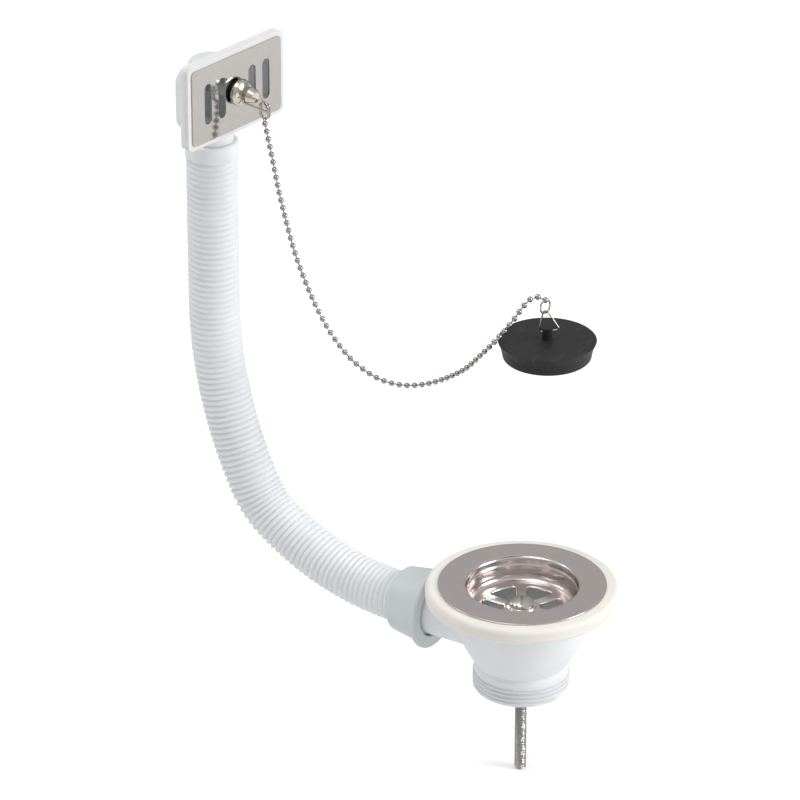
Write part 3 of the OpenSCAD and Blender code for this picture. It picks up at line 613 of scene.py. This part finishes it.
def add_hub(parts):
    """Raised ring round the bolt's hole."""
    rim_r = HUB_R - HUB_SET_IN
    hub = (
        [(HUB_FOOT_R, CUP_FLOOR_Z)]
        + arc(HUB_FOOT_R, CUP_FLOOR_Z + HUB_FOOT_ROUND, HUB_FOOT_ROUND, -90, -150, 3)[1:]
        + arc(rim_r, HUB_Z - HUB_ROUND, HUB_ROUND, 30, 90, 4)
        + [(BOLT_HOLE_R, HUB_Z), (BOLT_HOLE_R, HUB_Z - SHEET), (rim_r, HUB_Z - SHEET),
           (HUB_FOOT_R, CUP_FLOOR_Z - SHEET)]
    )
    parts.add(*turned(hub, ROUND_SIDES))


def add_rolled_hole(parts, turn):
    """Edge of one water hole, rolled down: along the sheet's upper side, and back along its lower side."""
    rings = []
    for reach, angles in ((CURL, np.linspace(0, 90, 7)), (CURL - SHEET, np.linspace(90, 0, 4))):
        for a in np.radians(angles):
            rings.append((CURL - reach * math.sin(a), CUP_FLOOR_Z - CURL + reach * math.cos(a)))
    points = []
    for grow, z in rings:
        points += [(x, y, z) for x, y in hole_outline(grow, turn)]
    count = len(points) // len(rings)
    faces = []
    for k in range(len(rings) - 1):
        faces += ring_faces(k * count, (k + 1) * count, count)
    parts.add(points, faces)


def make_strainer():
    parts = Parts()
    add_flange_and_cup(parts)
    add_hub(parts)
    turns = [SPOKE_TURN + 360 * k / HOLES for k in range(HOLES)]
    for z in (CUP_FLOOR_Z, CUP_FLOOR_Z - SHEET):
        loops = [circle_points(CUP_R - FLOOR_ROUND), circle_points(HUB_FOOT_R)]
        loops += [hole_outline(CURL, turn) for turn in turns]
        parts.add(*fill_flat(loops, z))
    for turn in turns:
        add_rolled_hole(parts, turn)
    stand_in(welded("strainer_pressed", parts), "strainer_flange", "stainless")


make_strainer()


# Threads, wound as one helix
BOLT_LEN, BOLT_R, BOLT_ROOT_R = 95.0, 3.0, 2.5
BOLT_PITCH, BOLT_CHAMFER, BOLT_SIDES = 1.0, 0.8, 28
BOLT_TOP = HUB_Z - 0.9
BOLT_END = HUB_Z - BOLT_LEN
HEAD_CUT = HUB_Z - 1
END_R, END_INSET = 2.3, 0.05


def thread_rod():
    """Points and faces of the bolt's thread, with a chamfer at its lower end."""
    middle = (BOLT_ROOT_R + BOLT_R) / 2
    shape = (BOLT_ROOT_R, middle, BOLT_R, middle)
    rows, sides = len(shape), BOLT_SIDES
    total = int((BOLT_TOP - BOLT_END) / BOLT_PITCH) + 1
    points, faces = [], []
    for j in range(total * rows + 1):
        for i in range(sides):
            z = max(BOLT_END, BOLT_TOP - (j / rows + i / sides) * BOLT_PITCH)
            r = min(shape[j % rows], BOLT_R - max(0, BOLT_CHAMFER - (z - BOLT_END)))
            a = 2 * math.pi * i / sides
            points.append((r * math.cos(a), r * math.sin(a), z))
    for j in range(total * rows - rows):
        for i in range(sides):
            here, below = j * sides + i, (j + 1) * sides + i
            step = 1 if i < sides - 1 else rows * sides - i
            faces.append((here, below, below + step, here + step))
    return points, faces


def make_bolt():
    """The solid's own slotted head, cut off under the hub, on a threaded rod."""
    head = bmesh.new()
    head.from_mesh(frame["nodes"]["centre_bolt"].data)
    bmesh.ops.remove_doubles(head, verts=head.verts, dist=0.001 * MM)
    geometry = head.verts[:] + head.edges[:] + head.faces[:]
    bmesh.ops.bisect_plane(head, geom=geometry, plane_co=Vector((0, 0, HEAD_CUT * MM)),
                           plane_no=(0, 0, 1), clear_inner=True)
    parts = Parts()
    parts.add(*thread_rod())
    rim = [2 * math.pi * i / BOLT_SIDES for i in range(BOLT_SIDES)]
    end = [(END_R * math.cos(a), END_R * math.sin(a), BOLT_END + END_INSET) for a in rim]
    parts.add(end, [tuple(reversed(range(BOLT_SIDES)))])
    rod = parts.mesh("bolt_rod")
    head.from_mesh(rod)
    mesh = bpy.data.meshes.new("bolt_threaded")
    head.to_mesh(mesh)
    head.free()
    bpy.data.meshes.remove(rod)
    bolt = new_piece("bolt_threaded", mesh)
    round_edges(bolt, 0.22, 3, 50)
    stand_in(bolt, "centre_bolt", "bolt_steel")


make_bolt()


OUTLET_R = 23.9
OUTLET_CREST, OUTLET_ROOT = OUTLET_R + 0.75, OUTLET_R - 0.25
THREAD_TOP, THREAD_LOW, THREAD_PITCH = -46.4, -56.7, 2.31
THREAD_SIDES = 96
THREAD_RUN_OUT = 8
THREAD_EDGE = 0.9
THREAD_SPARE = 1.6

# Section of the thread's ridge: share of its depth, and height in millimetres
THREAD_SECTION = ((0, -0.85), (1, -0.25), (1, 0.25), (0, 0.85))


def make_outlet_thread():
    """Coarse moulded thread round the outlet, standing a little proud of the plain cylinder."""
    count = int((THREAD_TOP - THREAD_LOW - THREAD_SPARE) / THREAD_PITCH * THREAD_SIDES)
    points, faces = [], []
    for k in range(count + 1):
        grow = min(1, k / THREAD_RUN_OUT, (count - k) / THREAD_RUN_OUT)
        a = 2 * math.pi * k / THREAD_SIDES
        z = THREAD_TOP - THREAD_EDGE - k / THREAD_SIDES * THREAD_PITCH
        for out, up in THREAD_SECTION:
            r = OUTLET_ROOT + (OUTLET_CREST - OUTLET_ROOT) * out * grow
            points.append((r * math.cos(a), r * math.sin(a), z + up))
    corners = len(THREAD_SECTION)
    for k in range(count):
        faces += ring_faces(k * corners, (k + 1) * corners, corners)
    faces += [(0, 1, 2, 3), tuple(count * corners + i for i in (3, 2, 1, 0))]
    piece = new_piece("outlet_thread", mesh_from("outlet_thread", points, faces))
    round_edges(piece, 0.2, 2, 35)
    dress(piece, "white_plastic")


make_outlet_thread()


# Floor, white surroundings and soft light
STAGE_Z = cad_box[0][2]
STAGE_HALF = 6.0
STAGE_COLOUR = (0.86, 0.86, 0.86, 1)
STAGE_LIFT = 0.34
LOW_TONE, HIGH_TONE = (0.48, 0.48, 0.49), (0.85, 0.85, 0.85)
LAMP_AIM = Vector((0, 0.08, 0.05))

# Each lamp's name, place and size in metres, and power in watts
LAMPS = (
    ("key", (0.75, -1.5, 0.8), 0.8, 19),
    ("top", (-0.5, 0.2, 1.9), 1.0, 9),
    ("back", (-0.6, 1.6, 1.7), 0.8, 6),
)


def backdrop_white(nodes, links, shader_out, level):
    """Shader that the camera sees a little paler, up to white."""
    light_path = nodes.new("ShaderNodeLightPath")
    lift = nodes.new("ShaderNodeEmission")
    lift.inputs["Strength"].default_value = level
    add = nodes.new("ShaderNodeAddShader")
    mix = nodes.new("ShaderNodeMixShader")
    links.new(light_path.outputs["Is Camera Ray"], mix.inputs["Fac"])
    links.new(shader_out, mix.inputs[1])
    links.new(shader_out, add.inputs[0])
    links.new(lift.outputs["Emission"], add.inputs[1])
    links.new(add.outputs["Shader"], mix.inputs[2])
    return mix.outputs["Shader"]


def make_floor():
    corners = ((-1, -1), (1, -1), (1, 1), (-1, 1))
    mesh = bpy.data.meshes.new("floor")
    mesh.from_pydata([(x * STAGE_HALF, y * STAGE_HALF, STAGE_Z) for x, y in corners], [], [(0, 1, 2, 3)])
    floor = bpy.data.objects.new("floor", mesh)
    scene.collection.objects.link(floor)
    material, nodes, links, shader = new_material("floor")
    shader.inputs["Base Color"].default_value = STAGE_COLOUR
    shader.inputs["Roughness"].default_value = 0.9
    out = nodes["Material Output"]
    links.new(backdrop_white(nodes, links, shader.outputs["BSDF"], STAGE_LIFT), out.inputs["Surface"])
    mesh.materials.append(material)


def make_world():
    """Studio surroundings: white to the camera, and a soft ramp from grey below to bright above."""
    world = bpy.data.worlds.new("studio")
    scene.world = world
    world.use_nodes = True
    nodes, links = world.node_tree.nodes, world.node_tree.links
    background = nodes["Background"]
    place = nodes.new("ShaderNodeTexCoord")
    split = nodes.new("ShaderNodeSeparateXYZ")
    links.new(place.outputs["Generated"], split.inputs["Vector"])
    height = to_range(nodes, links, split.outputs["Z"], 0, 1)
    height.inputs["From Min"].default_value = -0.2
    height.inputs["From Max"].default_value = 1.0
    tone = ramp(nodes, links, height.outputs["Result"], ((0.1, LOW_TONE), (0.9, HIGH_TONE)))
    links.new(tone.outputs["Color"], background.inputs["Color"])
    background.inputs["Strength"].default_value = 0.75
    white = nodes.new("ShaderNodeBackground")
    white.inputs["Strength"].default_value = 1.0
    white.inputs["Color"].default_value = (1, 1, 1, 1)
    light_path = nodes.new("ShaderNodeLightPath")
    mix = nodes.new("ShaderNodeMixShader")
    links.new(light_path.outputs["Is Camera Ray"], mix.inputs["Fac"])
    links.new(background.outputs["Background"], mix.inputs[1])
    links.new(white.outputs["Background"], mix.inputs[2])
    links.new(mix.outputs["Shader"], nodes["World Output"].inputs["Surface"])


def soft_box(name, place, size, power):
    """Square area lamp aimed at the middle of the object."""
    data = bpy.data.lights.new(name, "AREA")
    data.shape = "SQUARE"
    data.size = size
    data.energy = power
    lamp = bpy.data.objects.new(name, data)
    lamp.location = place
    lamp.rotation_euler = (LAMP_AIM - Vector(place)).to_track_quat("-Z", "Y").to_euler()
    scene.collection.objects.link(lamp)


make_floor()
make_world()
for lamp_row in LAMPS:
    soft_box(*lamp_row)
